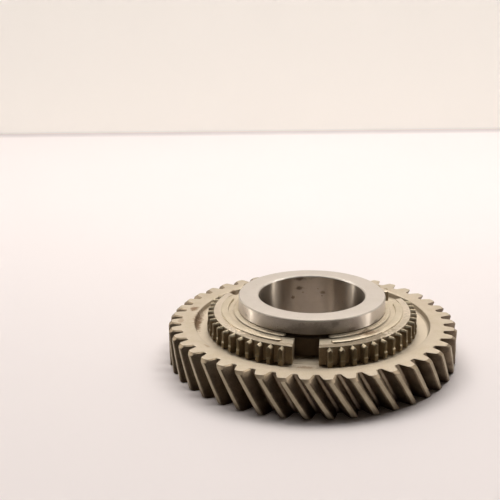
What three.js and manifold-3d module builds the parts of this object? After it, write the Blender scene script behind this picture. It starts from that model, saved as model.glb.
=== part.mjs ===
// Speed gear of a manual gearbox: a helical gear wheel with a clutch dog ring
// welded on the foot of its hub.
// Millimetres, +Z up along the bore. The origin is on the bore axis, in the
// plane of the rear face that the gear lies on.

import * as THREE from 'three';
import { mergeVertices } from 'three/addons/utils/BufferGeometryUtils.js';
import Module from 'manifold-3d';

const wasm = await Module();
wasm.setup();

const DEG = Math.PI / 180;

// Gap between two pieces that touch in the real gear.
const FIT_GAP = 0.3;

// Helical rim.
const TEETH = 43;
const FACE_WIDTH = 17;
const TIP_R = 65;
const PITCH_R = 61.8;
const ROOT_R = 59.2;
const FILLET_R = 60;
const PRESSURE_ANGLE = 20.5 * DEG;
const TOOTH_THICKNESS = 5.3;
const TWIST_PER_MM = 0.548 * DEG;
const FIRST_GAP_ANGLE = 0.25 * DEG;
const FRONT_TIP_CHAMFER = 1.1;
const REAR_TIP_CHAMFER = 0.3;
const ROOT_LAND_SHARE = 0.6;
const TWIST_STEPS = 3;

// Sunk faces of the web, and the counterbore that holds the ring's foot.
const RECESS_R = 52.9;
const RECESS_Z = 14;
const COUNTERBORE_R = 42.8;
const COUNTERBORE_Z = 11.5;
const REAR_RECESS_OUTER_R = 52;
const REAR_RECESS_INNER_R = 36;
const REAR_RECESS_DEPTH = 3;
const RECESS_DRAFT = 0.3;
const REAR_RECESS_DRAFT = 0.5;

// Hub, from the ring's seat up to the ground journal.
const BORE_R = 24;
const SEAT_R = 34.4;
const SEAT_TOP_Z = 21.95;
const RELIEF_R = 32.7;
const RELIEF_TOP_Z = 22.95;
const JOURNAL_R = 33.1;
const JOURNAL_BOTTOM_Z = 23.2;
const HUB_TOP_Z = 29.5;
const HUB_CHAMFER = 0.4;

// Clutch dog ring.
const RING_PITCHES = 57;
const TEETH_PER_BANK = 16;
const RING_BORE_R = SEAT_R + FIT_GAP;
const RING_FOOT_R = COUNTERBORE_R - FIT_GAP;
const RING_FOOT_Z = COUNTERBORE_Z + FIT_GAP;
const RING_BODY_Z = RECESS_Z + FIT_GAP;
const RING_ROOT_R = 44.4;
const RING_TOP_Z = 22.25;
const INNER_LAND_R = 41.2;
const INNER_LAND_Z = 22;
const LAND_DRAFT = 0.3;
const SLOTS = 3;
const SLOT_BORE_WIDTH = 10.3;
const SLOT_ROOT_WIDTH = 10.9;
const FIRST_SLOT_ANGLE = 23 * DEG;

// One dog tooth: a roofed bar whose foot reaches a little further out.
const DOG_ROOT_WIDTH = 2.9;
const DOG_TIP_WIDTH = 1.7;
const DOG_TIP_R = 47.2;
const DOG_FOOT_TIP_R = 47.5;
const DOG_FOOT_TOP_Z = 16.9;
const DOG_FOOT_WIDTH = 1.6;
const DOG_SHOULDER_DROP = 1;
const DOG_TIP_DROP = 0.35;

// Raised arc pads on the ring.
const PAD_INNER_R = 37.7;
const PAD_OUTER_R = 41;
const PAD_TOP_Z = 22.85;
const PAD_TIP_ANGLE = 15.4 * DEG;
const PAD_CHAMFER = 0.25;

// Weld seams between the ring and the hub seat.
const SEAM_INNER_R = 33.2;
const SEAM_OUTER_R = 35.5;
const SEAM_BOTTOM_Z = INNER_LAND_Z + FIT_GAP;
const SEAM_TOP_Z = 22.95;
const SEAM_END_ANGLE = 15 * DEG;

// Round surfaces.
const WHEEL_SEGMENTS = 72;
const RING_SEGMENTS = RING_PITCHES;
const ARC_SEGMENTS = 12;

// A closed mesh becomes a solid for joining and cutting.
function solid(geometry) {
  const bare = geometry.clone();
  bare.deleteAttribute('normal');
  bare.deleteAttribute('uv');
  const merged = mergeVertices(bare, 1e-4);
  return new wasm.Manifold(new wasm.Mesh({
    numProp: 3,
    vertProperties: new Float32Array(merged.attributes.position.array),
    triVerts: new Uint32Array(merged.index.array),
  }));
}

function geometryOf(body) {
  const mesh = body.getMesh();
  const geometry = new THREE.BufferGeometry();
  geometry.setAttribute('position', new THREE.BufferAttribute(mesh.vertProperties, 3));
  geometry.setIndex(new THREE.BufferAttribute(mesh.triVerts, 1));
  geometry.computeVertexNormals();
  return geometry;
}

function namedMesh(name, body, material) {
  const mesh = new THREE.Mesh(geometryOf(body), new THREE.MeshStandardMaterial(material));
  mesh.name = name;
  return mesh;
}

// Solid of revolution about +Z from a closed outline of [radius, height] pairs,
// listed anticlockwise with radius to the right and height up.
function revolve(outline, segments) {
  const points = outline.map(([r, z]) => new THREE.Vector2(r, z));
  points.push(points[0].clone());
  const geometry = new THREE.LatheGeometry(points, segments);
  geometry.rotateX(Math.PI / 2);
  return solid(geometry);
}

function at(radius, angle) {
  return new THREE.Vector2(radius * Math.cos(angle), radius * Math.sin(angle));
}

// Half the angle that one helical tooth fills at a radius: an involute flank.
function halfToothAngle(radius) {
  const involute = (angle) => Math.tan(angle) - angle;
  const baseR = PITCH_R * Math.cos(PRESSURE_ANGLE);
  const here = Math.acos(Math.min(1, baseR / radius));
  return TOOTH_THICKNESS / (2 * PITCH_R) + involute(PRESSURE_ANGLE) - involute(here);
}

// Outline of the toothed rim in the plane of its top face.
function rimShape() {
  const pitch = 2 * Math.PI / TEETH;
  const flankRadii = [FILLET_R, PITCH_R, TIP_R];
  const rootHalfGap = (pitch / 2 - halfToothAngle(FILLET_R)) * ROOT_LAND_SHARE;
  const points = [];
  for (let tooth = 0; tooth < TEETH; tooth += 1) {
    const gapCentre = FIRST_GAP_ANGLE + tooth * pitch;
    const toothCentre = gapCentre + pitch / 2;
    points.push(at(ROOT_R, gapCentre - rootHalfGap));
    points.push(at(ROOT_R, gapCentre + rootHalfGap));
    flankRadii.forEach((r) => points.push(at(r, toothCentre - halfToothAngle(r))));
    [...flankRadii].reverse().forEach((r) => points.push(at(r, toothCentre + halfToothAngle(r))));
  }
  return new THREE.Shape(points);
}

// The rim's teeth, running a little past both faces and twisted left-handed.
function twistedRim() {
  const overrun = 1;
  const geometry = new THREE.ExtrudeGeometry(rimShape(), {
    depth: FACE_WIDTH + 2 * overrun,
    steps: TWIST_STEPS,
    bevelEnabled: false,
  });
  geometry.translate(0, 0, -overrun);
  const position = geometry.attributes.position;
  const vertex = new THREE.Vector3();
  const axis = new THREE.Vector3(0, 0, 1);
  for (let i = 0; i < position.count; i += 1) {
    vertex.fromBufferAttribute(position, i);
    vertex.applyAxisAngle(axis, (FACE_WIDTH - vertex.z) * TWIST_PER_MM);
    position.setXYZ(i, vertex.x, vertex.y, vertex.z);
  }
  return solid(geometry);
}

// The wheel's turned form, with its outer wall left clear of the tooth tips
// so that only its end chamfers trim the teeth.
function turnedWheel() {
  const clear = 2;
  const outerR = TIP_R + clear;
  return revolve([
    [BORE_R + HUB_CHAMFER, 0],
    [REAR_RECESS_INNER_R, 0],
    [REAR_RECESS_INNER_R + REAR_RECESS_DRAFT, REAR_RECESS_DEPTH],
    [REAR_RECESS_OUTER_R - REAR_RECESS_DRAFT, REAR_RECESS_DEPTH],
    [REAR_RECESS_OUTER_R, 0],
    [TIP_R - REAR_TIP_CHAMFER, 0],
    [outerR, REAR_TIP_CHAMFER + clear],
    [outerR, FACE_WIDTH - FRONT_TIP_CHAMFER - clear],
    [TIP_R - FRONT_TIP_CHAMFER, FACE_WIDTH],
    [RECESS_R + RECESS_DRAFT, FACE_WIDTH],
    [RECESS_R, RECESS_Z],
    [COUNTERBORE_R, RECESS_Z],
    [COUNTERBORE_R, COUNTERBORE_Z],
    [SEAT_R, COUNTERBORE_Z],
    [SEAT_R, SEAT_TOP_Z],
    [RELIEF_R, SEAT_TOP_Z],
    [RELIEF_R, RELIEF_TOP_Z],
    [JOURNAL_R, JOURNAL_BOTTOM_Z],
    [JOURNAL_R, HUB_TOP_Z - HUB_CHAMFER],
    [JOURNAL_R - HUB_CHAMFER, HUB_TOP_Z],
    [BORE_R + HUB_CHAMFER, HUB_TOP_Z],
    [BORE_R, HUB_TOP_Z - HUB_CHAMFER],
    [BORE_R, HUB_CHAMFER],
  ], WHEEL_SEGMENTS);
}

function gearWheel() {
  const coreR = ROOT_R - 1.5;
  const overrun = 2;
  const core = new THREE.CylinderGeometry(coreR, coreR, HUB_TOP_Z + 2 * overrun, WHEEL_SEGMENTS);
  core.rotateX(Math.PI / 2);
  core.translate(0, 0, HUB_TOP_Z / 2);
  return twistedRim().add(solid(core)).intersect(turnedWheel());
}

// One dog tooth pointing along +X: a bar with a roofed top that falls away
// towards its tip.
function dogTooth() {
  const sunk = 0.8;
  const reach = DOG_TIP_R - RING_ROOT_R + sunk;
  const shoulderZ = RING_TOP_Z - DOG_SHOULDER_DROP;
  const section = new THREE.Shape([
    new THREE.Vector2(-1, RING_BODY_Z),
    new THREE.Vector2(1, RING_BODY_Z),
    new THREE.Vector2(1, shoulderZ),
    new THREE.Vector2(0, RING_TOP_Z),
    new THREE.Vector2(-1, shoulderZ),
  ]);
  const geometry = new THREE.ExtrudeGeometry(section, { depth: reach, bevelEnabled: false });
  // The section's x runs across the tooth and its y runs up the gear.
  geometry.rotateX(Math.PI / 2);
  geometry.rotateZ(Math.PI / 2);
  geometry.translate(RING_ROOT_R - sunk, 0, 0);
  const position = geometry.attributes.position;
  for (let i = 0; i < position.count; i += 1) {
    const out = (position.getX(i) - RING_ROOT_R) / (DOG_TIP_R - RING_ROOT_R);
    const width = DOG_ROOT_WIDTH + (DOG_TIP_WIDTH - DOG_ROOT_WIDTH) * out;
    const z = position.getZ(i);
    const drop = z > DOG_FOOT_TOP_Z ? DOG_TIP_DROP * Math.max(0, out) : 0;
    position.setXYZ(i, position.getX(i), position.getY(i) * width / 2, z - drop);
  }
  return solid(geometry);
}

// The foot of a dog tooth.
function dogFoot() {
  const sunk = 0.5;
  const height = DOG_FOOT_TOP_Z - RING_BODY_Z;
  const length = DOG_FOOT_TIP_R - RING_ROOT_R + sunk;
  const foot = new THREE.BoxGeometry(length, DOG_FOOT_WIDTH, height);
  foot.translate(DOG_FOOT_TIP_R - length / 2, 0, RING_BODY_Z + height / 2);
  return solid(foot);
}

function slotAngle(slot) {
  return FIRST_SLOT_ANGLE + slot * 2 * Math.PI / SLOTS;
}

function turnedBy(body, angle) {
  return body.rotate([0, 0, angle / DEG]);
}

// A raised pad from tip to tip: an arc with round ends and a chamfered crown.
function pad(startTip, endTip) {
  const inner = PAD_INNER_R + PAD_CHAMFER;
  const outer = PAD_OUTER_R - PAD_CHAMFER;
  const middle = (inner + outer) / 2;
  const endR = (outer - inner) / 2;
  const endReach = (endR + PAD_CHAMFER) / middle;
  const startAngle = startTip + endReach;
  const endAngle = endTip - endReach;
  const start = at(middle, startAngle);
  const end = at(middle, endAngle);
  const shape = new THREE.Shape();
  shape.absarc(0, 0, outer, startAngle, endAngle, false);
  shape.absarc(end.x, end.y, endR, endAngle, endAngle + Math.PI, false);
  shape.absarc(0, 0, inner, endAngle, startAngle, true);
  shape.absarc(start.x, start.y, endR, startAngle + Math.PI, startAngle + 2 * Math.PI, false);
  const geometry = new THREE.ExtrudeGeometry(shape, {
    depth: PAD_TOP_Z - INNER_LAND_Z,
    curveSegments: ARC_SEGMENTS,
    bevelSize: PAD_CHAMFER,
    bevelThickness: PAD_CHAMFER,
    bevelSegments: 1,
  });
  geometry.translate(0, 0, INNER_LAND_Z - PAD_CHAMFER);
  return solid(geometry);
}

function turnedRing() {
  return revolve([
    [RING_BORE_R, RING_FOOT_Z],
    [RING_FOOT_R, RING_FOOT_Z],
    [RING_FOOT_R, RING_BODY_Z],
    [RING_ROOT_R, RING_BODY_Z],
    [RING_ROOT_R, RING_TOP_Z],
    [INNER_LAND_R, RING_TOP_Z],
    [INNER_LAND_R - LAND_DRAFT, INNER_LAND_Z],
    [RING_BORE_R, INNER_LAND_Z],
  ], RING_SEGMENTS);
}

// A slot along +X that widens from the ring's bore to its teeth.
function slotCutter() {
  const overrun = 5;
  const flare = (SLOT_ROOT_WIDTH - SLOT_BORE_WIDTH) / 2 / (RING_ROOT_R - RING_BORE_R);
  const innerR = RING_BORE_R - overrun;
  const outerR = RING_ROOT_R + overrun;
  const innerHalf = SLOT_BORE_WIDTH / 2 - flare * overrun;
  const outerHalf = SLOT_ROOT_WIDTH / 2 + flare * overrun;
  const plan = new THREE.Shape([
    new THREE.Vector2(innerR, -innerHalf),
    new THREE.Vector2(outerR, -outerHalf),
    new THREE.Vector2(outerR, outerHalf),
    new THREE.Vector2(innerR, innerHalf),
  ]);
  const height = PAD_TOP_Z - RECESS_Z + overrun;
  const geometry = new THREE.ExtrudeGeometry(plan, { depth: height, bevelEnabled: false });
  geometry.translate(0, 0, RECESS_Z);
  return solid(geometry);
}

function dogRing() {
  const pitch = 2 * Math.PI / RING_PITCHES;
  const pitchesPerBank = RING_PITCHES / SLOTS;
  const firstTooth = (pitchesPerBank - TEETH_PER_BANK + 1) / 2;
  const tooth = dogTooth().add(dogFoot());
  const cutter = slotCutter();
  let ring = turnedRing();
  for (let slot = 0; slot < SLOTS; slot += 1) {
    const centre = slotAngle(slot);
    ring = ring.subtract(turnedBy(cutter, centre));
    ring = ring.add(pad(centre + PAD_TIP_ANGLE, slotAngle(slot + 1) - PAD_TIP_ANGLE));
    for (let i = 0; i < TEETH_PER_BANK; i += 1) {
      ring = ring.add(turnedBy(tooth, centre + (firstTooth + i) * pitch));
    }
  }
  return ring;
}

// One arc of weld with a low crown, from slot to slot.
function weldSeam(startAngle, endAngle) {
  const crown = 0.2;
  const shape = new THREE.Shape();
  shape.absarc(0, 0, SEAM_OUTER_R - crown, startAngle, endAngle, false);
  shape.absarc(0, 0, SEAM_INNER_R + crown, endAngle, startAngle, true);
  const geometry = new THREE.ExtrudeGeometry(shape, {
    depth: SEAM_TOP_Z - SEAM_BOTTOM_Z - 2 * crown,
    curveSegments: ARC_SEGMENTS,
    bevelSize: crown,
    bevelThickness: crown,
    bevelSegments: 1,
  });
  geometry.translate(0, 0, SEAM_BOTTOM_Z + crown);
  return solid(geometry);
}

const groundSteel = { color: 0xcfc6b6, roughness: 0.32, metalness: 1 };
const ringSteel = { color: 0xc9bca3, roughness: 0.42, metalness: 1 };
const weldSteel = { color: 0xa89a84, roughness: 0.5, metalness: 1 };

const gear = new THREE.Group();
gear.add(namedMesh('helical_gear_wheel', gearWheel(), groundSteel));
gear.add(namedMesh('clutch_dog_ring', dogRing(), ringSteel));
for (let slot = 0; slot < SLOTS; slot += 1) {
  const start = slotAngle(slot) + SEAM_END_ANGLE;
  const end = slotAngle(slot + 1) - SEAM_END_ANGLE;
  gear.add(namedMesh(`weld_seam_${slot + 1}`, weldSeam(start, end), weldSteel));
}

export default gear;
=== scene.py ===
"""Looks for the helical speed gear: a detailed mesh for each CAD piece, procedural steel, a pale studio.

The gear lies flat on its rear face with its bore axis along +Z. Sizes are in millimetres until a mesh
is made. The studio's are in metres.
"""

import math

import bmesh
import bpy
import numpy as np
from mathutils import Matrix, Vector


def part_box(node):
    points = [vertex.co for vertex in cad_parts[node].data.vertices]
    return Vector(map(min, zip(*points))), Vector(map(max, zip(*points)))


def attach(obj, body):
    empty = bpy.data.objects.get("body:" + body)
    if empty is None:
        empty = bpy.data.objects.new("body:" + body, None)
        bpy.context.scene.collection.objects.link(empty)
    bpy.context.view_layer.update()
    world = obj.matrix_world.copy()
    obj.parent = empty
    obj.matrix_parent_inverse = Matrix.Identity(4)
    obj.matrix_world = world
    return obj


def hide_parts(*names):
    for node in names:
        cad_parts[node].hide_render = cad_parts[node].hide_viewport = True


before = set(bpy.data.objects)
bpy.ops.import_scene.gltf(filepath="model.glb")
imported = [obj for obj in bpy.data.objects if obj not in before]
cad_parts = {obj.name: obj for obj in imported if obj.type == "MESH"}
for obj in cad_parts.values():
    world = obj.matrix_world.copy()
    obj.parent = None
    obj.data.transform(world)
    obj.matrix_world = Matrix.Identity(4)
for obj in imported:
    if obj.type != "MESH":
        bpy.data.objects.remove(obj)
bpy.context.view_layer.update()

MM = 0.001
DEG = math.pi / 180


def node_top(node):
    """Height of a CAD node's top in millimetres."""
    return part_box(node)[1].z / MM


# ---------------------------------------------------------------- driving sizes

TIP_R = 65.0
FACE_Z = 17.0
HUB_TOP_Z = node_top("helical_gear_wheel")

TEETH = 43
PITCH_R = 61.8
ROOT_R = 59.2
FILLET_R = 60.0
FILLET_WIDTH = 0.85
PRESSURE_ANGLE = 20.5 * DEG
TOOTH_THICKNESS = 5.3
TWIST_PER_MM = 0.548 * DEG
FIRST_GAP_ANGLE = 0.25 * DEG
FRONT_TIP_CHAMFER = 1.1
REAR_TIP_CHAMFER = 0.3
TIP_BEVEL = 0.4
EDGE_BREAK = 0.15
# How heavily each point of a tooth's outline is dressed, as a multiple of EDGE_BREAK.
EDGE_DRESSING = np.array([1.0] * 14 + [3.0] * 8 + [2.0, 1.5, 1.2, 1.0])

BORE_R = 24.0
BORE_FRONT_CHAMFER = 0.5
BORE_REAR_CHAMFER = 0.7
JOURNAL_R = 33.1
JOURNAL_CHAMFER = 0.4
JOURNAL_BOTTOM_Z = 23.2
SEAT_R = 34.4
SEAT_TOP_Z = 21.95
RELIEF_R = 32.7
RELIEF_TOP_Z = 22.95
COUNTERBORE_R = 42.8
COUNTERBORE_Z = 11.5
RECESS_R = 52.9
RECESS_Z = 14.0
RECESS_DRAFT = 0.3
RIM_INNER_R = 57.2
REAR_RECESS_R = 52.2
REAR_RECESS_INNER_R = 36.0
REAR_RECESS_DRAFT = 0.5
REAR_RECESS_DEPTH = 3.0

SLOTS = 3
FIRST_SLOT_ANGLE = 23.0 * DEG
SLOT_HALF_AT_BORE = 5.15
SLOT_FLARE = 0.031
RING_PITCHES = 57
TEETH_PER_BANK = 16
RING_BORE_R = 34.7
RING_FOOT_R = 42.5
RING_FOOT_Z = 11.8
RING_BODY_Z = 14.1
RING_ROOT_R = 44.4
RING_TOP_Z = 22.25
LAND_R = 41.2
LAND_Z = 22.0
PAD_MIDDLE_R = 39.35
PAD_HALF_WIDTH = 1.65
PAD_TOP_Z = node_top("clutch_dog_ring")
PAD_TIP_ANGLE = 15.4 * DEG
DOG_TIP_R = 47.2
DOG_FOOT_R = 47.5
DOG_FOOT_TOP_Z = 16.8
DOG_ROOF_DROP = 1.05
SLOT_EDGE_BREAK = 0.22

SEAM_MIDDLE_R = 34.2
SEAM_BOTTOM_Z = 22.3
SEAM_TOP_Z = node_top("weld_seam_1")
SEAM_END_ANGLE = 15.0 * DEG
SEAM_TAPER = 1.2
RIPPLE_HEIGHT = 0.03
RIPPLE_PITCH = 0.62
SEAM_SWAY = 0.05
SWAY_RATE = 37.0


# ---------------------------------------------------------------- mesh helpers

# Points closer than this, in metres, become one.
MERGE_DISTANCE = 2e-6
# An arc takes up at most this share of the sides next to it, and has this many steps.
ARC_SHARE = 0.45
ARC_STEPS = 3


def loft(name, rows, material_ids, materials, wrap_rows=True, sharp_deg=28):
    """A skin through rows of points, with the material of each band taken from the row and column before.

    Columns wrap round. Rows do too, unless each end row closes to a point.
    """
    grid = np.array(rows, float)
    n_rows, n_cols = grid.shape[:2]
    last = n_rows if wrap_rows else n_rows - 1
    row = np.arange(last)[:, None]
    col = np.arange(n_cols)[None, :]
    next_row = (row + 1) % n_rows
    next_col = (col + 1) % n_cols
    here, above = row * n_cols, next_row * n_cols
    corners = [here + col, here + next_col, above + next_col, above + col]
    quads = np.stack(corners, axis=-1).reshape(-1, 4)
    mesh = bpy.data.meshes.new(name)
    mesh.from_pydata((grid.reshape(-1, 3) * MM).tolist(), [], quads.tolist())
    ids = np.broadcast_to(np.array(material_ids, np.int32), (n_rows, n_cols))[:last].ravel()
    mesh.polygons.foreach_set("material_index", ids)
    bm = bmesh.new()
    bm.from_mesh(mesh)
    bmesh.ops.remove_doubles(bm, verts=bm.verts, dist=MERGE_DISTANCE)
    bmesh.ops.recalc_face_normals(bm, faces=bm.faces)
    bm.to_mesh(mesh)
    bm.free()
    mesh.shade_smooth()
    mesh.set_sharp_from_angle(angle=sharp_deg * DEG)
    for material in materials:
        mesh.materials.append(material)
    obj = bpy.data.objects.new(name, mesh)
    bpy.context.scene.collection.objects.link(obj)
    return obj


def rounded(outline):
    """Points along an outline of (radius, height, rounding, material), and the material after each."""
    points, ids = [], []
    for i, (r, z, rounding, material) in enumerate(outline):
        here = np.array([r, z], float)
        if rounding <= 0:
            points.append(here)
            ids.append(material)
            continue
        to_last = np.array(outline[i - 1][:2], float) - here
        to_next = np.array(outline[i + 1][:2], float) - here
        a = to_last / np.linalg.norm(to_last)
        b = to_next / np.linalg.norm(to_next)
        half = math.acos(max(-1.0, min(1.0, float(a @ b)))) / 2
        room_each_side = [ARC_SHARE * np.linalg.norm(side) for side in (to_last, to_next)]
        run = min(rounding / math.tan(half), *room_each_side)
        radius = run * math.tan(half)
        centre = here + (a + b) / np.linalg.norm(a + b) * radius / math.sin(half)
        for k in range(ARC_STEPS + 1):
            toward = (here + a * run) * (1 - k / ARC_STEPS) + (here + b * run) * k / ARC_STEPS - centre
            points.append(centre + toward / np.linalg.norm(toward) * radius)
            ids.append(material)
    return points, ids


def circle_row(radius, z, angles):
    """Points round the axis at one radius and height."""
    return np.stack([radius * np.cos(angles), radius * np.sin(angles), np.full_like(angles, z)], axis=1)


# ---------------------------------------------------------------- the gear wheel

def half_tooth_angle(radius):
    """Half the angle one helical tooth fills at a radius: an involute flank."""
    base_r = PITCH_R * math.cos(PRESSURE_ANGLE)
    here = math.acos(min(1.0, base_r / radius))
    involute_pitch = math.tan(PRESSURE_ANGLE) - PRESSURE_ANGLE
    involute_here = math.tan(here) - here
    return TOOTH_THICKNESS / (2 * PITCH_R) + involute_pitch - involute_here


def tooth_pitch_outline(tip_r):
    """(radius, angle) from one gap's centre to just short of the next gap's, by rising angle."""
    half_pitch = math.pi / TEETH
    fillet_steps, flank_steps = 4, 6
    gap_at_fillet = half_pitch - half_tooth_angle(FILLET_R)
    root_land = gap_at_fillet - FILLET_WIDTH / ROOT_R
    side = [(ROOT_R, root_land)]
    for k in range(1, fillet_steps + 1):
        t = k / fillet_steps * math.pi / 2
        radius = ROOT_R + (FILLET_R - ROOT_R) * (1 - math.cos(t))
        side.append((radius, root_land + (gap_at_fillet - root_land) * math.sin(t)))
    for k in range(1, flank_steps + 1):
        radius = FILLET_R + (tip_r - TIP_BEVEL - FILLET_R) * k / flank_steps
        side.append((radius, half_pitch - half_tooth_angle(radius)))
    side.append((tip_r, half_pitch - half_tooth_angle(tip_r) + TIP_BEVEL / tip_r))
    far_side = [(radius, 2 * half_pitch - angle) for radius, angle in reversed(side)]
    return [(ROOT_R, 0.0)] + side + [(tip_r, half_pitch)] + far_side


def rim_row(z, inset=0.0, drop=0.0):
    """Every point round the toothed rim at height z, drawn in by inset and lowered by drop.

    Inset and drop break a sharp edge, and are larger where EDGE_DRESSING says so.
    """
    tip_r = TIP_R - max(0.0, FRONT_TIP_CHAMFER - (FACE_Z - z), REAR_TIP_CHAMFER - z)
    outline = np.array(tooth_pitch_outline(tip_r))
    dressing = np.tile(EDGE_DRESSING, TEETH)
    radii = np.tile(outline[:, 0], TEETH)
    starts = FIRST_GAP_ANGLE + np.arange(TEETH) * 2 * math.pi / TEETH
    heights = z - drop * dressing
    angles = (starts[:, None] + outline[None, :, 1]).ravel() + (FACE_Z - heights) * TWIST_PER_MM
    points = np.stack([radii * np.cos(angles), radii * np.sin(angles)], axis=1)
    if inset:
        along = np.roll(points, -1, axis=0) - np.roll(points, 1, axis=0)
        along /= np.linalg.norm(along, axis=1)[:, None]
        points = points - inset * dressing[:, None] * np.stack([along[:, 1], -along[:, 0]], axis=1)
    return np.column_stack([points, heights])


# Plain rows this far from the journal's edges keep the edges' slope out of its shading.
ROWS_BELOW_JOURNAL_TOP = (0.5, 0.6)
ROW_ABOVE_JOURNAL_BOTTOM = 0.25
RECESS_FOOT_ROUNDING = 1.35
RECESS_LIP_ROUNDING = 0.5
# A height well inside the bore, which gives the bore's edges their direction.
BORE_GUIDE_Z = 10.0
WHEEL_FINISHES = (
    "ground_face",
    "ground_journal",
    "hub_edge",
    "ground_bore",
    "turned_rim",
    "turned_web",
    "black_seat",
    "tooth_flank",
    "tooth_tip",
    "tooth_root",
    "tooth_chamfer",
)


def gear_wheel(finish):
    """The whole wheel as one skin: up the bore, out over the front, down the teeth, in under the rear."""
    face, journal, hub_edge, bore, rim, web, seat, flank, tip, root, chamfer = range(len(WHEEL_FINISHES))
    bore_guide = (BORE_R, BORE_GUIDE_Z, 0, bore)
    front = [
        (BORE_R, HUB_TOP_Z - BORE_FRONT_CHAMFER, 0.15, face),
        (BORE_R + BORE_FRONT_CHAMFER, HUB_TOP_Z, 0.15, face),
        (JOURNAL_R - JOURNAL_CHAMFER, HUB_TOP_Z, 0.12, hub_edge),
        (JOURNAL_R, HUB_TOP_Z - JOURNAL_CHAMFER, 0.12, hub_edge),
        (JOURNAL_R, HUB_TOP_Z - ROWS_BELOW_JOURNAL_TOP[0], 0, journal),
        (JOURNAL_R, HUB_TOP_Z - ROWS_BELOW_JOURNAL_TOP[1], 0, journal),
        (JOURNAL_R, JOURNAL_BOTTOM_Z + ROW_ABOVE_JOURNAL_BOTTOM, 0, journal),
        (JOURNAL_R, JOURNAL_BOTTOM_Z, 0.12, web),
        (RELIEF_R, RELIEF_TOP_Z, 0, seat),
        (RELIEF_R, SEAT_TOP_Z, 0, seat),
        (SEAT_R, SEAT_TOP_Z, 0.15, seat),
        (SEAT_R, COUNTERBORE_Z, 0, seat),
        (COUNTERBORE_R, COUNTERBORE_Z, 0, seat),
        (COUNTERBORE_R, RECESS_Z, 0.12, web),
        (RECESS_R, RECESS_Z, RECESS_FOOT_ROUNDING, web),
        (RECESS_R + RECESS_DRAFT, FACE_Z, RECESS_LIP_ROUNDING, rim),
        (RIM_INNER_R, FACE_Z, 0, rim),
    ]
    rear = [
        (RIM_INNER_R, 0, 0, rim),
        (REAR_RECESS_R, 0, 0.25, web),
        (REAR_RECESS_R - REAR_RECESS_DRAFT, REAR_RECESS_DEPTH, 1.0, web),
        (REAR_RECESS_INNER_R + REAR_RECESS_DRAFT, REAR_RECESS_DEPTH, 1.0, web),
        (REAR_RECESS_INNER_R, 0, 0.25, face),
        (BORE_R + BORE_REAR_CHAMFER, 0, 0.15, bore),
        (BORE_R, BORE_REAR_CHAMFER, 0.15, bore),
    ]
    rim_points = rim_row(FACE_Z)
    front_angles = np.unwrap(np.arctan2(rim_points[:, 1], rim_points[:, 0]))
    twist = FACE_Z * TWIST_PER_MM
    # The finish of each column over one tooth pitch: below the chamfer, on it, and on the broken edge.
    tooth_columns = np.tile([root] * 3 + [flank] * 9 + [tip] * 2 + [flank] * 9 + [root] * 3, TEETH)
    chamfer_pitch = [root] * 3 + [flank] * 8 + [chamfer] * 4 + [flank] * 8 + [root] * 3
    chamfer_columns = np.tile(chamfer_pitch, TEETH)
    edge_columns = np.tile([rim] * 11 + [chamfer] * 12 + [rim] * 3, TEETH)
    rows, ids = [], []
    # Up the bore, easing back the angle that the helix has turned at the rear.
    bore_rows = 5
    for k in range(1, bore_rows):
        z = BORE_REAR_CHAMFER + (HUB_TOP_Z - 2 * BORE_REAR_CHAMFER) * k / bore_rows
        rows.append(circle_row(BORE_R, z, front_angles + twist * (1 - k / bore_rows)))
        ids.append(bore)
    points, materials = rounded([bore_guide] + front)
    for (radius, z), material in list(zip(points, materials))[1:]:
        rows.append(circle_row(radius, z, front_angles))
        ids.append(material)
    # Down the helical teeth.
    inner_rows = 10
    low, high = REAR_TIP_CHAMFER, FACE_Z - FRONT_TIP_CHAMFER
    rows.append(rim_row(FACE_Z, inset=EDGE_BREAK))
    ids.append(edge_columns)
    rows.append(rim_row(FACE_Z, drop=EDGE_BREAK))
    ids.append(chamfer_columns)
    for k in range(inner_rows + 1):
        rows.append(rim_row(high + (low - high) * k / inner_rows))
        ids.append(tooth_columns)
    rows.append(rim_row(0.0, drop=-EDGE_BREAK))
    ids.append(tooth_columns)
    rows.append(rim_row(0.0, inset=EDGE_BREAK))
    ids.append(rim)
    points, materials = rounded(rear + [bore_guide])
    for (radius, z), material in list(zip(points, materials))[:-1]:
        rows.append(circle_row(radius, z, front_angles + twist))
        ids.append(material)
    row_ids = [np.broadcast_to(row, len(tooth_columns)) for row in ids]
    return loft("gear_wheel", rows, np.array(row_ids), [finish[n] for n in WHEEL_FINISHES])


# ---------------------------------------------------------------- the clutch dog ring

# Half a dog tooth, from its ridge sideways: offset from the centre, share of the full reach, and how far
# the roof has dropped.
DOG_SIDE = (
    (0.0, 1.0, 0.0),
    (0.20, 1.0, 0.08),
    (0.50, 1.0, 0.36),
    (0.76, 0.99, 0.60),
    (0.90, 0.94, 0.74),
    (1.24, 0.12, 0.98),
    (1.36, 0.03, 1.02),
    (1.50, 0.0, 1.02),
)
DOG_OFFSET_R = 45.9
DOG_RIDGE_ROOT_Z = RING_TOP_Z - 0.15
DOG_RIDGE_TIP_Z = RING_TOP_Z - 0.4
# The radius between the two floor bands on the inner side of the pads.
FLOOR_SPLIT_R = 36.0
PAD_LIP = 0.28
PAD_TIP_HALF_WIDTH = 0.35
PAD_SLACK = 0.02
# The half-width and height share of the bands that carry the pads, where no pad stands.
NO_PAD = (0.5, 0.0)
# The least distance between two stations round the ring, in radians.
STATION_GAP = 2e-4
TINY = 1e-6
# Where more than this share of a dog tooth's reach stands out, the ring has the tooth's finishes.
ON_TOOTH_REACH = 0.9
DOG_PITCH = 2 * math.pi / RING_PITCHES
# The first dog tooth's place after a slot's centre, in pitches, and the angle from slot to slot.
FIRST_DOG = (RING_PITCHES / SLOTS - TEETH_PER_BANK + 1) / 2
BANK = 2 * math.pi / SLOTS
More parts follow.
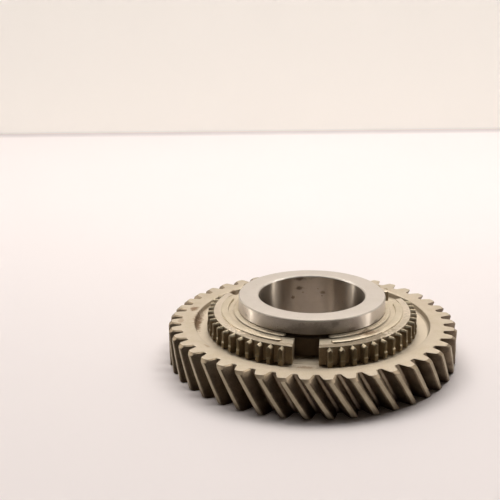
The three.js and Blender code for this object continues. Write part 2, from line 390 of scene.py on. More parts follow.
# The angle of the first station from a slot's centre, and the stations past a pad's tip in millimetres.
FIRST_STATION = 9.5 * DEG
PAD_TIP_STATIONS = (-0.03, 0.0, 0.12, 0.4, 0.8, 1.25, PAD_HALF_WIDTH)
RING_FINISHES = (
    "ring_face",
    "pad_face",
    "ring_floor",
    "dog_flank",
    "dog_head",
    "dog_tip",
    "black_seat",
)


def ring_section(reach, roof_drop, pad_half, pad_high):
    """One closed section of the ring as (radius, height) pairs, from its inner top corner outward.

    reach and pad_high run from 0 to 1: how far a dog tooth stands out, and how high a pad stands up.
    """
    middle, half = PAD_MIDDLE_R, pad_half
    pad_z = LAND_Z + (PAD_TOP_Z - LAND_Z) * pad_high
    lip = PAD_LIP * pad_high
    # Beside a pad of full width, the groove between it and the ring's outer face is filled.
    wide = pad_high > 0 and half > PAD_HALF_WIDTH - PAD_SLACK
    foot_z = RING_TOP_Z - 0.02 if wide else LAND_Z
    tip_r = RING_ROOT_R + (DOG_TIP_R - RING_ROOT_R) * reach
    foot_r = RING_ROOT_R + (DOG_FOOT_R - RING_ROOT_R) * reach
    tip_z = DOG_RIDGE_TIP_Z - roof_drop
    return [
        (RING_BORE_R + 0.2, LAND_Z),
        (FLOOR_SPLIT_R, LAND_Z),
        (middle - half - 0.06, LAND_Z),
        (middle - half, pad_z - lip),
        (middle - half + 0.09, pad_z - 0.3 * lip),
        (middle - half + 0.3, pad_z),
        (middle, pad_z),
        (middle + half - 0.3, pad_z),
        (middle + half - 0.09, pad_z - 0.3 * lip),
        (middle + half, pad_z - lip),
        (middle + half + 0.02, foot_z),
        (LAND_R + 0.02, foot_z),
        (LAND_R + 0.14, RING_TOP_Z),
        (RING_ROOT_R - 0.35, RING_TOP_Z),
        (RING_ROOT_R - 0.08, RING_TOP_Z - 0.08),
        (RING_ROOT_R, RING_TOP_Z - 0.28),
        (RING_ROOT_R + 0.02 * reach, DOG_RIDGE_ROOT_Z - 0.02 - roof_drop),
        (tip_r - 0.35 * reach, tip_z + 0.08),
        (tip_r - 0.08 * reach, tip_z - 0.06),
        (tip_r, tip_z - 0.3),
        (tip_r, DOG_FOOT_TOP_Z + 0.35),
        (foot_r - 0.05 * reach, DOG_FOOT_TOP_Z - 0.05),
        (foot_r, DOG_FOOT_TOP_Z - 0.3),
        (foot_r, RING_BODY_Z + 0.3),
        (foot_r - 0.3, RING_BODY_Z),
        (RING_FOOT_R + 0.1, RING_BODY_Z),
        (RING_FOOT_R, RECESS_Z - 0.1),
        (RING_FOOT_R, RING_FOOT_Z + 0.2),
        (RING_FOOT_R - 0.2, RING_FOOT_Z),
        (RING_BORE_R + 0.2, RING_FOOT_Z),
        (RING_BORE_R, RING_FOOT_Z + 0.2),
        (RING_BORE_R, RECESS_Z - 0.1),
        (RING_BORE_R, LAND_Z - 0.2),
    ]


SECTION_POINTS = 33
# The bands of the section by finish. Band k runs from point k to the next, and a band that is in two of
# these has the later one's finish.
FACE_COLUMNS = range(0, 16)
PAD_COLUMNS = range(4, 8)
# Band 11, the bevel at the land's edge, has the darker floor finish: painted shade that keeps a highlight
# off it.
FLOOR_COLUMNS = (0, 1, 2, 10, 11)
WALL_COLUMNS = range(15, 25)
HEAD_COLUMNS = (15, 16, 17, 18, 20, 21)
TIP_COLUMNS = (19, 22, 23, 24)
# The points that drop to the slot's floor where a slot is cut.
CUT_COLUMNS = tuple(range(0, 26)) + (32,)
# The points of the outer wall, and those of the top.
OUTER_POINTS = range(14, 25)
TOP_POINTS = tuple(range(0, 18)) + (32,)
SLOT_FLOOR_Z = RECESS_Z - 0.05


def cut_to_slot(section):
    """The section cut down to the floor of a slot."""
    flat = list(section)
    for k in CUT_COLUMNS:
        flat[k] = (min(max(section[k][0], RING_BORE_R), RING_FOOT_R), SLOT_FLOOR_Z)
    return flat


def drawn_in(section, amount):
    """The section with its top and outer wall moved in, for the broken edge beside a slot."""
    moved = []
    for k, (radius, z) in enumerate(section):
        inward = amount if k in OUTER_POINTS else 0
        down = amount if k in TOP_POINTS else 0
        moved.append((radius - inward, z - down))
    return moved


def dog_profile(angle):
    """Reach and roof drop of the dog teeth at an angle from a slot's centre, between two slots."""
    nearest = round(angle / DOG_PITCH - FIRST_DOG) + FIRST_DOG
    nearest = min(max(nearest, FIRST_DOG), FIRST_DOG + TEETH_PER_BANK - 1)
    offset = abs(angle - nearest * DOG_PITCH) * DOG_OFFSET_R
    offsets, reaches, drops = zip(*DOG_SIDE)
    return float(np.interp(offset, offsets, reaches)), float(np.interp(offset, offsets, drops))


def pad_profile(angle):
    """Half-width and height share of the raised pad at an angle from a slot's centre."""
    inside = min(angle - PAD_TIP_ANGLE, BANK - PAD_TIP_ANGLE - angle) * PAD_MIDDLE_R
    if inside < -TINY:
        return NO_PAD
    left = max(0.0, PAD_HALF_WIDTH - inside)
    return max(PAD_TIP_HALF_WIDTH, math.sqrt(PAD_HALF_WIDTH**2 - left**2)), 1.0


def bank_angles():
    """Angles from a slot's centre, over one bank of teeth, at which the ring's section changes."""
    angles = {FIRST_STATION}
    for tooth in range(TEETH_PER_BANK):
        centre = (FIRST_DOG + tooth) * DOG_PITCH
        for offset, _, _ in DOG_SIDE:
            angles |= {centre - offset / DOG_OFFSET_R, centre + offset / DOG_OFFSET_R}
        angles.add(centre + DOG_PITCH / 2)
    for inside in PAD_TIP_STATIONS:
        angles.add(PAD_TIP_ANGLE + inside / PAD_MIDDLE_R)
    near_half = sorted(a for a in angles if a < BANK / 2 - TINY)
    spaced = [near_half[0]]
    for angle in near_half[1:]:
        if angle - spaced[-1] > STATION_GAP:
            spaced.append(angle)
    return spaced + [BANK / 2] + [BANK - a for a in reversed(spaced)]


def dog_ring(finish):
    """The whole ring as one skin: three slots, and between them three banks of dog teeth with a pad."""
    face, pad, floor, dog, head, tip, seat = range(len(RING_FINISHES))
    column_ids = np.full(SECTION_POINTS, seat)
    column_ids[list(FACE_COLUMNS)] = face
    column_ids[list(PAD_COLUMNS)] = pad
    column_ids[list(FLOOR_COLUMNS)] = floor
    column_ids[list(WALL_COLUMNS)] = dog
    tooth_ids = column_ids.copy()
    tooth_ids[list(HEAD_COLUMNS)] = head
    tooth_ids[list(TIP_COLUMNS)] = tip
    wall_ids = np.full(SECTION_POINTS, dog)
    slot_ids = np.full(SECTION_POINTS, floor)
    rows, ids = [], []

    def add(section, ids_here, slot_angle, angle=0.0, share=0.0, beside=0.0):
        """One station, at an angle from the slot's centre or at a share of the slot's half-width."""
        radii = np.array([p[0] for p in section])
        heights = np.array([p[1] for p in section])
        half_width = SLOT_HALF_AT_BORE + SLOT_FLARE * (radii - RING_BORE_R)
        theta = slot_angle + angle + np.arcsin((share * half_width + beside) / radii)
        rows.append(np.stack([radii * np.cos(theta), radii * np.sin(theta), heights], axis=1))
        ids.append(ids_here)

    plain = ring_section(0.0, DOG_ROOF_DROP, *NO_PAD)
    cut = cut_to_slot(plain)
    broken = SLOT_EDGE_BREAK
    stations = bank_angles()
    for slot in range(SLOTS):
        here = FIRST_SLOT_ANGLE + slot * BANK
        beyond = here + BANK
        add(cut, slot_ids, here)
        add(cut, slot_ids, here, share=0.5)
        add(cut, wall_ids, here, share=1.0)
        add(drawn_in(plain, broken), column_ids, here, share=1.0)
        add(plain, column_ids, here, share=1.0, beside=broken)
        for angle, after in zip(stations, stations[1:] + stations[-1:]):
            section = ring_section(*dog_profile(angle), *pad_profile(angle))
            on_tooth = dog_profile((angle + after) / 2)[0] > ON_TOOTH_REACH
            add(section, tooth_ids if on_tooth else column_ids, here, angle=angle)
        add(plain, column_ids, beyond, share=-1.0, beside=-broken)
        add(drawn_in(plain, broken), wall_ids, beyond, share=-1.0)
        add(cut, slot_ids, beyond, share=-1.0)
        add(cut, slot_ids, beyond, share=-0.5)
    return loft("dog_ring", rows, np.array(ids), [finish[n] for n in RING_FINISHES])


# ---------------------------------------------------------------- the weld seams

def weld_seam(number, finish):
    """One arc of fillet weld, falling away from the journal, with fine ripples across it."""
    start = FIRST_SLOT_ANGLE + (number - 1) * BANK + SEAM_END_ANGLE
    sweep = BANK - 2 * SEAM_END_ANGLE
    stations = 360
    low, high = SEAM_BOTTOM_Z, SEAM_TOP_Z
    # The bead shrinks to this height at its two ends.
    base = low + 0.1
    # Radius, height, and how much the ripples and the sway move the point.
    outline = (
        (32.95, base, 0.0),
        (33.1, low, 0.0),
        (35.2, low, 0.0),
        (35.5, base, 0.2),
        (35.35, low + 0.24, 0.7),
        (35.0, low + 0.38, 1.0),
        (34.5, low + 0.5, 1.0),
        (34.0, high - 0.08, 1.0),
        (33.5, high - 0.02, 0.8),
        (33.15, high - 0.01, 0.3),
        (32.98, high - 0.06, 0.0),
        (32.95, high - 0.2, 0.0),
    )
    rows = []
    for i in range(stations + 1):
        angle = start + sweep * i / stations
        from_end = min(i, stations - i) / stations * sweep * SEAM_MIDDLE_R
        size = math.sqrt(1 - (1 - min(1.0, from_end / SEAM_TAPER)) ** 2)
        ripple = RIPPLE_HEIGHT * math.sin(angle * SEAM_MIDDLE_R * 2 * math.pi / RIPPLE_PITCH)
        sway = SEAM_SWAY * math.sin(angle * SWAY_RATE + number)
        row = []
        for radius, z, share in outline:
            radius = SEAM_MIDDLE_R + (radius - SEAM_MIDDLE_R + sway * share) * size
            z = base + (z - base + ripple * share) * size
            row.append((radius * math.cos(angle), radius * math.sin(angle), min(z, high)))
        rows.append(row)
    name = f"weld_seam_{number}_bead"
    return loft(name, rows, 0, [finish["weld"]], wrap_rows=False, sharp_deg=60)


# ---------------------------------------------------------------- materials

class Nodes:
    """Short calls for building one material's node tree."""

    def __init__(self, material):
        self.tree = material.node_tree
        self.tree.nodes.clear()

    def add(self, kind, **settings):
        node = self.tree.nodes.new(kind)
        for key, value in settings.items():
            setattr(node, key, value)
        return node

    def put(self, socket, value):
        if isinstance(value, bpy.types.NodeSocket):
            self.tree.links.new(value, socket)
        else:
            socket.default_value = value

    def math(self, operation, a, b=0.0, clamp=False):
        node = self.add("ShaderNodeMath", operation=operation, use_clamp=clamp)
        for socket, value in zip(node.inputs, (a, b)):
            self.put(socket, value)
        return node.outputs[0]

    def ramp(self, value, low, high, out_low=0.0, out_high=1.0):
        node = self.add("ShaderNodeMapRange", interpolation_type="SMOOTHSTEP")
        names = ("Value", "From Min", "From Max", "To Min", "To Max")
        for key, setting in zip(names, (value, low, high, out_low, out_high)):
            self.put(node.inputs[key], setting)
        return node.outputs[0]

    def mix(self, factor, a, b):
        node = self.add("ShaderNodeMix", data_type="RGBA")
        self.put(node.inputs["Factor"], factor)
        self.put(node.inputs["A"], a)
        self.put(node.inputs["B"], b)
        return node.outputs["Result"]

    def vector(self, x, y, z):
        node = self.add("ShaderNodeCombineXYZ")
        for socket, value in zip(node.inputs, (x, y, z)):
            self.put(socket, value)
        return node.outputs[0]

    def noise(self, vector, scale, detail=3.0, roughness=0.55):
        node = self.add("ShaderNodeTexNoise")
        self.put(node.inputs["Vector"], vector)
        self.put(node.inputs["Scale"], scale)
        self.put(node.inputs["Detail"], detail)
        self.put(node.inputs["Roughness"], roughness)
        return node.outputs["Fac"]


def rgb(r, g, b):
    return (r, g, b, 1.0)


# Rust stains: angle in degrees, radius, spread along the radius, spread round the gear, strength.
STAINS = (
    (180, 59.5, 1.6, 3.2, 0.4),
    (165, 56.2, 2.2, 3.0, 0.85),
    (212, 55.0, 0.9, 2.2, 0.4),
    (133, 53.5, 0.9, 1.8, 0.8),
    (176, 52.2, 1.8, 11.0, 0.85),
    (25, 42.5, 3.2, 6.0, 0.45),
    (263, 46.5, 2.0, 5.0, 0.6),
    (306, 37.4, 3.2, 5.5, 1.0),
    (296, 34.4, 1.2, 4.5, 0.4),
    (236, 34.2, 0.8, 2.5, 0.5),
    (112, 40.0, 1.6, 4.5, 0.35),
    (52, 61.0, 1.0, 2.0, 0.3),
)
# Painted dark reflection of the hub on the ring's outer face, placed the same way.
RING_DARK_REFLECTION = (
    (285, 43.0, 3.6, 36.0, 0.95),
    (243, 43.0, 3.4, 25.0, 0.8),
    (331, 43.0, 2.6, 18.0, 0.5),
)
# Spots inside the bore, with a height in place of the radius.
BORE_SPOTS = (
    (100, 23.6, 0.9, 3.6, 0.55),
    (99, 28.2, 0.9, 3.6, 0.55),
    (73, 21.4, 0.8, 1.8, 0.5),
    (74, 19.8, 0.4, 0.6, 0.5),
    (108, 19.2, 0.7, 1.3, 0.5),
    (79, 23.2, 0.3, 0.8, 0.5),
    (96, 21.4, 0.4, 0.8, 0.4),
    (250, 20.0, 0.8, 1.5, 0.6),
    (290, 12.0, 0.6, 1.2, 0.6),
)
# Dark streaks down the journal, placed the same way. The first, in front above the slot, is painted shade
# over the journal's reflection through the slot; the rest are oily deposits.
JOURNAL_OIL_AND_SHADE = (
    (264, 25.0, 3.6, 9.0, 0.3),
    (283, 27.5, 1.8, 2.2, 0.3),
    (298, 23.8, 1.0, 2.5, 0.3),
    (243, 23.8, 1.2, 2.5, 0.35),
    (206, 25.2, 0.9, 1.5, 0.4),
    (322, 23.5, 0.9, 3.0, 0.5),
)
RUST = rgb(0.18, 0.095, 0.04)
# The colour of oil, also used for the shade painted on the journal and on the teeth near the table.
OIL_AND_SHADE = rgb(0.10, 0.07, 0.048)
# The colour of the dark reflection painted on the ring's outer face.
DARK_REFLECTION_PAINT = rgb(0.20, 0.155, 0.10)
PIT = rgb(0.09, 0.055, 0.03)
# How far up the helical teeth the shade painted near the table thins out.
TABLE_SHADE_HEIGHT = 5.0
# Noise scales, per millimetre.
BLOTCH_SCALE = 0.11
RAGGED_SCALE = 0.55
PIT_SCALE = 0.9
FINE_SCALE = 1.9
# How close the turning marks lie, per millimetre, and how fast they change round the axis, per radian.
LINES_PER_MM = 5.0
LINE_WANDER = 1.3
# Where each noise starts to show and where it shows in full.
BLOTCH_RANGE = (0.36, 0.66)
FINE_RANGE = (0.42, 0.75)
PIT_RANGE = (0.735, 0.80)
# A spot's full and empty edges, as shares of its spread, and how ragged they are.
SPOT_RANGE = (0.35, 1.25)
RAGGEDNESS = 2.4
FINE_SHARE = 0.45
PIT_STRENGTH = 0.55
# What the fine grain, the darker tone and the stains add to the roughness.
FINE_ROUGHNESS = 0.16
TONE_ROUGHNESS = 0.10
STAIN_ROUGHNESS = 0.35
MOST_ROUGH = 0.95
# How far a stain hides the metal.
STAIN_COVER = 0.6
# The height of the strongest tool marks in millimetres.
MARK_HEIGHT = 0.02
BUMP_STRENGTH = 0.8
# Turns the streaks from round the axis to along it.
QUARTER_TURN = 0.25


def steel(
    name, tint, shade, rough, marks=0.0, grain=0.02, aniso=0.0, blotch=0.35,
    spot_strength=0.0, spots=STAINS, spot_colour=RUST, upright=False, table_shade=0.0,
):
    """A worked steel surface: tint and shade in soft blotches, with turning marks, grain, pits and spots.

    marks is the strength of the tool's lines round the axis, grain the height of the fine bumps in
    millimetres, aniso how far a highlight spreads across those lines, and the spot strength that of the
    spots, which an upright surface has placed by height: rust and oil, painted shade on the journal and a
    painted dark reflection on the ring's face. The last setting is the strength of the shade painted near
    the table.
    """
    material = bpy.data.materials.new(name)
    material.use_nodes = True
    n = Nodes(material)
    place = n.add("ShaderNodeTexCoord").outputs["Object"]
    scaled = n.add("ShaderNodeVectorMath", operation="SCALE")
    n.put(scaled.inputs[0], place)
    n.put(scaled.inputs["Scale"], 1 / MM)
    where = scaled.outputs[0]
    split = n.add("ShaderNodeSeparateXYZ")
    n.put(split.inputs[0], where)
    x, y, z = split.outputs
    radius = n.math("SQRT", n.math("ADD", n.math("MULTIPLY", x, x), n.math("MULTIPLY", y, y)))
    angle = n.math("ARCTAN2", y, x)

    blotches = n.noise(where, BLOTCH_SCALE, 5.0, 0.62)
    fine = n.noise(where, FINE_SCALE, 4.0, 0.6)
    close_radius, close_z = (n.math("MULTIPLY", value, LINES_PER_MM) for value in (radius, z))
    along_lines = n.vector(close_radius, n.math("MULTIPLY", angle, LINE_WANDER), close_z)
    lines = n.noise(along_lines, 1.0, 4.0, 0.7)

    tone = n.ramp(blotches, *BLOTCH_RANGE, 0.0, blotch)
    tone = n.math("ADD", tone, n.ramp(fine, *FINE_RANGE, 0.0, blotch * FINE_SHARE), clamp=True)
    if marks:
        tool_marks = n.math("MULTIPLY", n.math("SUBTRACT", lines, 0.5), marks)
        tone = n.math("ADD", tone, tool_marks, clamp=True)
    colour = n.mix(tone, tint, shade)

    pits = n.ramp(n.noise(where, PIT_SCALE, 2.0, 0.5), *PIT_RANGE)
    colour = n.mix(n.math("MULTIPLY", pits, PIT_STRENGTH), colour, PIT)

    # Spots in the colour: rust and oil, the painted shade on the journal and the painted dark reflection
    # on the ring's face.
    if spot_strength:
        ragged = n.noise(where, RAGGED_SCALE, 5.0, 0.65)
        ragged = n.math("MULTIPLY", n.math("SUBTRACT", ragged, 0.5), RAGGEDNESS)
        total = None
        across = z if upright else radius
        for degrees, place_across, spread_across, spread_round, strength in spots:
            turn = n.math("SUBTRACT", angle, (degrees - 360 if degrees > 180 else degrees) * DEG)
            lever = 2 * (JOURNAL_R if upright else place_across) / spread_round
            away_round = n.math("MULTIPLY", n.math("SINE", n.math("MULTIPLY", turn, 0.5)), lever)
            away_across = n.math("DIVIDE", n.math("SUBTRACT", across, place_across), spread_across)
            squares = [n.math("MULTIPLY", away, away) for away in (away_round, away_across)]
            away = n.math("SQRT", n.math("ADD", *squares))
            spot = n.ramp(n.math("ADD", away, ragged), *SPOT_RANGE, strength * spot_strength, 0.0)
            total = spot if total is None else n.math("MAXIMUM", total, spot)
        colour = n.mix(total, colour, spot_colour)

    # A shade painted into the colour, strongest at the table and gone at the set height.
    if table_shade:
        colour = n.mix(n.ramp(z, 0.0, TABLE_SHADE_HEIGHT, table_shade, 0.0), colour, OIL_AND_SHADE)

    uneven = n.math("MULTIPLY", n.math("SUBTRACT", fine, 0.5), FINE_ROUGHNESS)
    roughness = n.math("ADD", rough, uneven)
    roughness = n.math("ADD", roughness, n.math("MULTIPLY", tone, TONE_ROUGHNESS))
    if spot_strength:
        roughness = n.math("ADD", roughness, n.math("MULTIPLY", total, STAIN_ROUGHNESS))
    height = n.math("MULTIPLY", fine, grain)
    if marks:
        height = n.math("ADD", height, n.math("MULTIPLY", lines, MARK_HEIGHT * marks))
    bump = n.add("ShaderNodeBump")
    n.put(bump.inputs["Height"], n.math("MULTIPLY", height, MM))
    n.put(bump.inputs["Distance"], 1.0)
    n.put(bump.inputs["Strength"], BUMP_STRENGTH)

    shader = n.add("ShaderNodeBsdfPrincipled")
    n.put(shader.inputs["Base Color"], colour)
    metallic = n.math("SUBTRACT", 1.0, n.math("MULTIPLY", total, STAIN_COVER)) if spot_strength else 1.0
    n.put(shader.inputs["Metallic"], metallic)
    n.put(shader.inputs["Roughness"], n.math("MINIMUM", roughness, MOST_ROUGH))
    n.put(shader.inputs["Normal"], bump.outputs[0])
    if aniso:
        n.put(shader.inputs["Anisotropic"], aniso)
        n.put(shader.inputs["Anisotropic Rotation"], QUARTER_TURN)
        tangent = n.add("ShaderNodeTangent", direction_type="RADIAL", axis="Z")
        n.put(shader.inputs["Tangent"], tangent.outputs[0])
    n.put(n.add("ShaderNodeOutputMaterial").inputs["Surface"], shader.outputs[0])
    return material


def finishes():
    """Every finish by name: the ground, turned, oily and welded steels."""
    grey, grey_shade = rgb(0.60, 0.555, 0.505), rgb(0.515, 0.465, 0.41)
    journal, journal_shade = rgb(0.67, 0.62, 0.565), rgb(0.57, 0.52, 0.46)
    edge, edge_shade = rgb(0.46, 0.42, 0.37), rgb(0.36, 0.32, 0.27)
    bore_grey, bore_shade = rgb(0.49, 0.43, 0.36), rgb(0.42, 0.36, 0.29)
    straw, straw_shade = rgb(0.495, 0.432, 0.342), rgb(0.39, 0.32, 0.228)
    web = rgb(0.56, 0.49, 0.39)
    black, black_shade = rgb(0.15, 0.112, 0.078), rgb(0.08, 0.058, 0.04)
    flank, flank_shade = rgb(0.30, 0.237, 0.168), rgb(0.142, 0.106, 0.072)
    tip, tip_shade = rgb(0.45, 0.39, 0.28), rgb(0.31, 0.26, 0.18)
    root, root_shade = rgb(0.34, 0.28, 0.205), rgb(0.20, 0.15, 0.10)
    chamfer, chamfer_shade = rgb(0.30, 0.24, 0.17), rgb(0.18, 0.14, 0.09)
    ring, ring_shade = rgb(0.67, 0.59, 0.475), rgb(0.54, 0.46, 0.355)
    pad, pad_shade = rgb(0.49, 0.43, 0.335), rgb(0.39, 0.325, 0.232)
    floor = rgb(0.52, 0.455, 0.355)
    oily, oily_shade = rgb(0.40, 0.32, 0.22), rgb(0.22, 0.17, 0.11)
    head, head_shade = rgb(0.34, 0.29, 0.205), rgb(0.27, 0.225, 0.153)
    dark, dark_shade = rgb(0.21, 0.168, 0.105), rgb(0.12, 0.09, 0.055)
    weld, weld_shade = rgb(0.50, 0.44, 0.345), rgb(0.38, 0.31, 0.22)
    shiny = {"marks": 0.2, "grain": 0.003}
    streaky = {"aniso": 1.0, "spot_strength": 1.0, "spot_colour": OIL_AND_SHADE, "upright": True, **shiny}
    looks = {
        "ground_face": (grey, grey_shade, 0.36, {"marks": 0.35, "blotch": 0.3, "spot_strength": 0.4}),
        # The journal's streaks include a painted shade above the front slot.
        "ground_journal": (journal, journal_shade, 0.29, {"spots": JOURNAL_OIL_AND_SHADE, **streaky}),
        # The hub's top edge is darker than the journal: painted shade that keeps a highlight off its
        # chamfer.
        "hub_edge": (edge, edge_shade, 0.62, {"marks": 0.2}),
        "ground_bore": (bore_grey, bore_shade, 0.30, {"spots": BORE_SPOTS, **streaky}),
        "turned_rim": (straw, straw_shade, 0.46, {"marks": 0.3, "spot_strength": 1.0}),
        "turned_web": (web, straw, 0.56, {"marks": 0.35, "spot_strength": 1.0}),
        "black_seat": (black, black_shade, 0.55, {"marks": 0.2, "grain": 0.05}),
        # The helical teeth are darkened towards the table by painted shade.
        "tooth_flank": (flank, flank_shade, 0.48, {"blotch": 0.7, "table_shade": 0.8}),
        "tooth_tip": (tip, tip_shade, 0.42, {"blotch": 0.5, "table_shade": 0.5}),
        "tooth_root": (root, root_shade, 0.40, {"blotch": 0.6, "table_shade": 0.8}),
        "tooth_chamfer": (chamfer, chamfer_shade, 0.45, {"blotch": 0.5}),
        # The ring's outer face carries a dark reflection of the hub painted into its colour.
        "ring_face": (ring, ring_shade, 0.30, {"spot_strength": 1.0, "spots": RING_DARK_REFLECTION, "spot_colour": DARK_REFLECTION_PAINT, **shiny}),
        "pad_face": (pad, pad_shade, 0.50, {"marks": 0.25, "spot_strength": 0.8}),
        "ring_floor": (floor, straw_shade, 0.50, {"marks": 0.4, "spot_strength": 1.0}),
        "dog_flank": (oily, oily_shade, 0.60, {"blotch": 0.6}),
        "dog_head": (head, head_shade, 0.42, {"blotch": 0.4}),
        "dog_tip": (dark, dark_shade, 0.48, {"blotch": 0.6}),
        "weld": (weld, weld_shade, 0.58, {"blotch": 0.5, "spot_strength": 0.8}),
    }
    made = {}
    for name, (tint, shade, rough, extras) in looks.items():
        made[name] = steel(name, tint, shade, rough, **extras)
    return made


# ---------------------------------------------------------------- studio

# The table and wall, in metres.
WALL_Y = 0.566
WALL_BEND = 0.006
WALL_HEIGHT = 1.6
TABLE_FRONT_Y = -0.17
TABLE_HALF_WIDTH = 2.2
TABLE_PAINT = rgb(0.85, 0.795, 0.80)
WALL_PAINT = rgb(0.81, 0.75, 0.69)
PAINT_ROUGHNESS = 0.75
# The heights between which the table's paint turns into the wall's.
WALL_FOOT = (0.002, 0.006)
MOTTLE = rgb(0.5, 0.45, 0.42)
MOTTLE_SCALE = 6.0
MOTTLE_RANGE = (0.3, 0.7)
MOTTLE_STRENGTH = 0.02
GLOW = rgb(1.0, 0.95, 0.89)
TABLE_GLOW = 0.05
# The table's glow is full from this far behind the gear.
TABLE_GLOW_Y = 0.30
WALL_GLOW = 0.39
# The point that every light faces.
AIM = (0, 0, 0.015)
OVERHEAD_LIGHT = (1.0, 0.97, 0.93)
STRIP_LIGHT = (1.0, 0.95, 0.90)
ROOM_FRONT = rgb(0.045, 0.036, 0.027)
ROOM_BACK = rgb(1.0, 0.92, 0.85)
ROOM_AS_SEEN = rgb(1.45, 1.35, 1.26)
ROOM_STRENGTH = 0.6
# The direction's Y where the room starts to brighten, and where it is brightest.
ROOM_RANGE = (-0.05, 0.45)
# The camera's place, in millimetres.
CAMERA_PLACE = (-27.7, -390.4, 172.8)
CAMERA_PITCH = 17.41 * DEG
CAMERA_ROLL = 0.608 * DEG
CAMERA_LENS = 66.1


def backdrop_paint():
    """Pale matt paint with a faint mottle. The far table and the wall glow a little, as if lit."""
    material = bpy.data.materials.new("backdrop_paint")
    material.use_nodes = True
    n = Nodes(material)
    place = n.add("ShaderNodeTexCoord").outputs["Object"]
    split = n.add("ShaderNodeSeparateXYZ")
    n.put(split.inputs[0], place)
    _, y, z = split.outputs
    on_wall = n.ramp(z, *WALL_FOOT)
    colour = n.mix(on_wall, TABLE_PAINT, WALL_PAINT)
    mottle = n.ramp(n.noise(place, MOTTLE_SCALE), *MOTTLE_RANGE, MOTTLE_STRENGTH, 0.0)
    colour = n.mix(mottle, colour, MOTTLE)
    shader = n.add("ShaderNodeBsdfPrincipled")
    n.put(shader.inputs["Base Color"], colour)
    n.put(shader.inputs["Roughness"], PAINT_ROUGHNESS)
    n.put(shader.inputs["Emission Color"], GLOW)
    table_glow = n.ramp(y, 0.0, TABLE_GLOW_Y, 0.0, TABLE_GLOW)
    wall_glow = n.math("MULTIPLY", on_wall, WALL_GLOW)
    n.put(shader.inputs["Emission Strength"], n.math("ADD", table_glow, wall_glow))
    n.put(n.add("ShaderNodeOutputMaterial").inputs["Surface"], shader.outputs[0])
    return material


def sweep_backdrop():
    """A pale table that meets a pale wall behind the gear in a tight curve."""
    bend_start = WALL_Y - WALL_BEND
    bend_steps = 12
    profile = [(TABLE_FRONT_Y, 0.0), (bend_start, 0.0)]
    for k in range(1, bend_steps + 1):
        t = k / bend_steps * math.pi / 2
        profile.append((bend_start + WALL_BEND * math.sin(t), WALL_BEND - WALL_BEND * math.cos(t)))
    profile.append((WALL_Y, WALL_HEIGHT))
    mesh = bpy.data.meshes.new("backdrop")
    points = [(side * TABLE_HALF_WIDTH, y, z) for y, z in profile for side in (-1, 1)]
    faces = [(2 * i, 2 * i + 1, 2 * i + 3, 2 * i + 2) for i in range(len(profile) - 1)]
    mesh.from_pydata(points, [], faces)
    mesh.shade_smooth()
    mesh.materials.append(backdrop_paint())
    obj = bpy.data.objects.new("backdrop", mesh)
    bpy.context.scene.collection.objects.link(obj)


def area_light(name, azimuth, elevation, distance, width, height, power, colour):
    """A soft light at an azimuth and elevation in degrees, distance in metres, facing the gear."""
    data = bpy.data.lights.new(name, "AREA")
    data.shape = "RECTANGLE"
    data.size = width
    data.size_y = height
    data.energy = power
    data.color = colour
    light = bpy.data.objects.new(name, data)
    flat = distance * math.cos(elevation * DEG)
    light.location = (
        flat * math.cos(azimuth * DEG),
        flat * math.sin(azimuth * DEG),
        distance * math.sin(elevation * DEG),
    )
    light.rotation_euler = (Vector(AIM) - light.location).to_track_quat("-Z", "Y").to_euler()
    bpy.context.scene.collection.objects.link(light)
    return light


def lights(gear):
    """A large softbox overhead, and two tall narrow ones that light the gear but not the table."""
    area_light(
        "top_softbox", azimuth=86, elevation=62, distance=1.1, width=1.4, height=0.6,
        power=20.8, colour=OVERHEAD_LIGHT,
    )
    lit = bpy.data.collections.new("lit_by_the_strips")
    for obj in gear:
        lit.objects.link(obj)
    left = area_light(
        "left_softbox", azimuth=162.5, elevation=28, distance=0.51, width=0.02, height=0.35,
        power=0.74, colour=STRIP_LIGHT,
    )
    right = area_light(
        "right_softbox", azimuth=1.0, elevation=28, distance=1.2, width=0.045, height=0.8,
        power=4.8, colour=STRIP_LIGHT,
    )
    for strip in (left, right):
        strip.light_linking.receiver_collection = lit


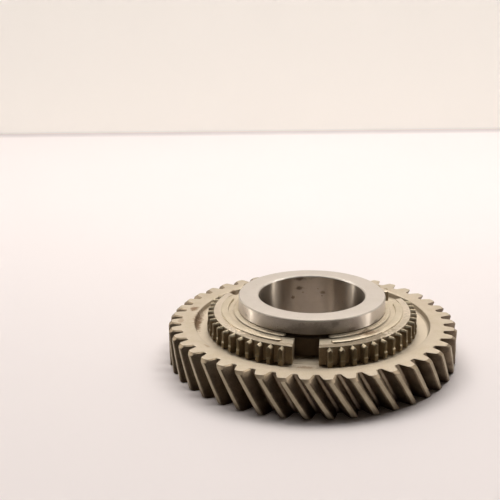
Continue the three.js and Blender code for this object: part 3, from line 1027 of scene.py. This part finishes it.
def room():
    """Light from all round: bright behind the gear, dim behind the camera, pale where seen directly."""
    world = bpy.data.worlds.new("room")
    bpy.context.scene.world = world
    world.use_nodes = True
    n = Nodes(world)
    direction = n.add("ShaderNodeTexCoord").outputs["Generated"]
    split = n.add("ShaderNodeSeparateXYZ")
    n.put(split.inputs[0], direction)
    y = split.outputs["Y"]
    back = n.ramp(y, *ROOM_RANGE)
    colour = n.mix(back, ROOM_FRONT, ROOM_BACK)
    colour = n.mix(n.add("ShaderNodeLightPath").outputs["Is Camera Ray"], colour, ROOM_AS_SEEN)
    shader = n.add("ShaderNodeBackground")
    n.put(shader.inputs["Color"], colour)
    n.put(shader.inputs["Strength"], ROOM_STRENGTH)
    n.put(n.add("ShaderNodeOutputWorld").inputs["Surface"], shader.outputs[0])


def camera():
    """The photo's viewpoint: a little left of centre, 24 degrees above the gear, rolled under a degree."""
    forward = Vector((0, math.cos(CAMERA_PITCH), -math.sin(CAMERA_PITCH)))
    level_up = Vector((0, math.sin(CAMERA_PITCH), math.cos(CAMERA_PITCH)))
    level_right = Vector((1, 0, 0))
    right = level_right * math.cos(CAMERA_ROLL) - level_up * math.sin(CAMERA_ROLL)
    up = level_right * math.sin(CAMERA_ROLL) + level_up * math.cos(CAMERA_ROLL)
    data = bpy.data.cameras.new("camera")
    data.sensor_width = 36
    data.lens = CAMERA_LENS
    data.clip_start = 0.01
    obj = bpy.data.objects.new("camera", data)
    turn = Matrix((right, up, -forward)).transposed()
    obj.matrix_world = Matrix.Translation([c * MM for c in CAMERA_PLACE]) @ turn.to_4x4()
    bpy.context.scene.collection.objects.link(obj)
    bpy.context.scene.camera = obj


# ---------------------------------------------------------------- build

def main():
    """Makes the five pieces in place of the CAD's, then the studio round them."""
    finish = finishes()
    wheel = gear_wheel(finish)
    ring = dog_ring(finish)
    pieces = [(wheel, "helical_gear_wheel", "gear_steel"), (ring, "clutch_dog_ring", "ring_steel")]
    for number in range(1, SLOTS + 1):
        pieces.append((weld_seam(number, finish), f"weld_seam_{number}", "weld_metal"))
    for obj, node, slot in pieces:
        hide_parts(node)
        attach(obj, "root")

    sweep_backdrop()
    room()
    lights([obj for obj, _, _ in pieces])
    camera()
    bpy.context.scene.view_settings.view_transform = "Standard"


main()
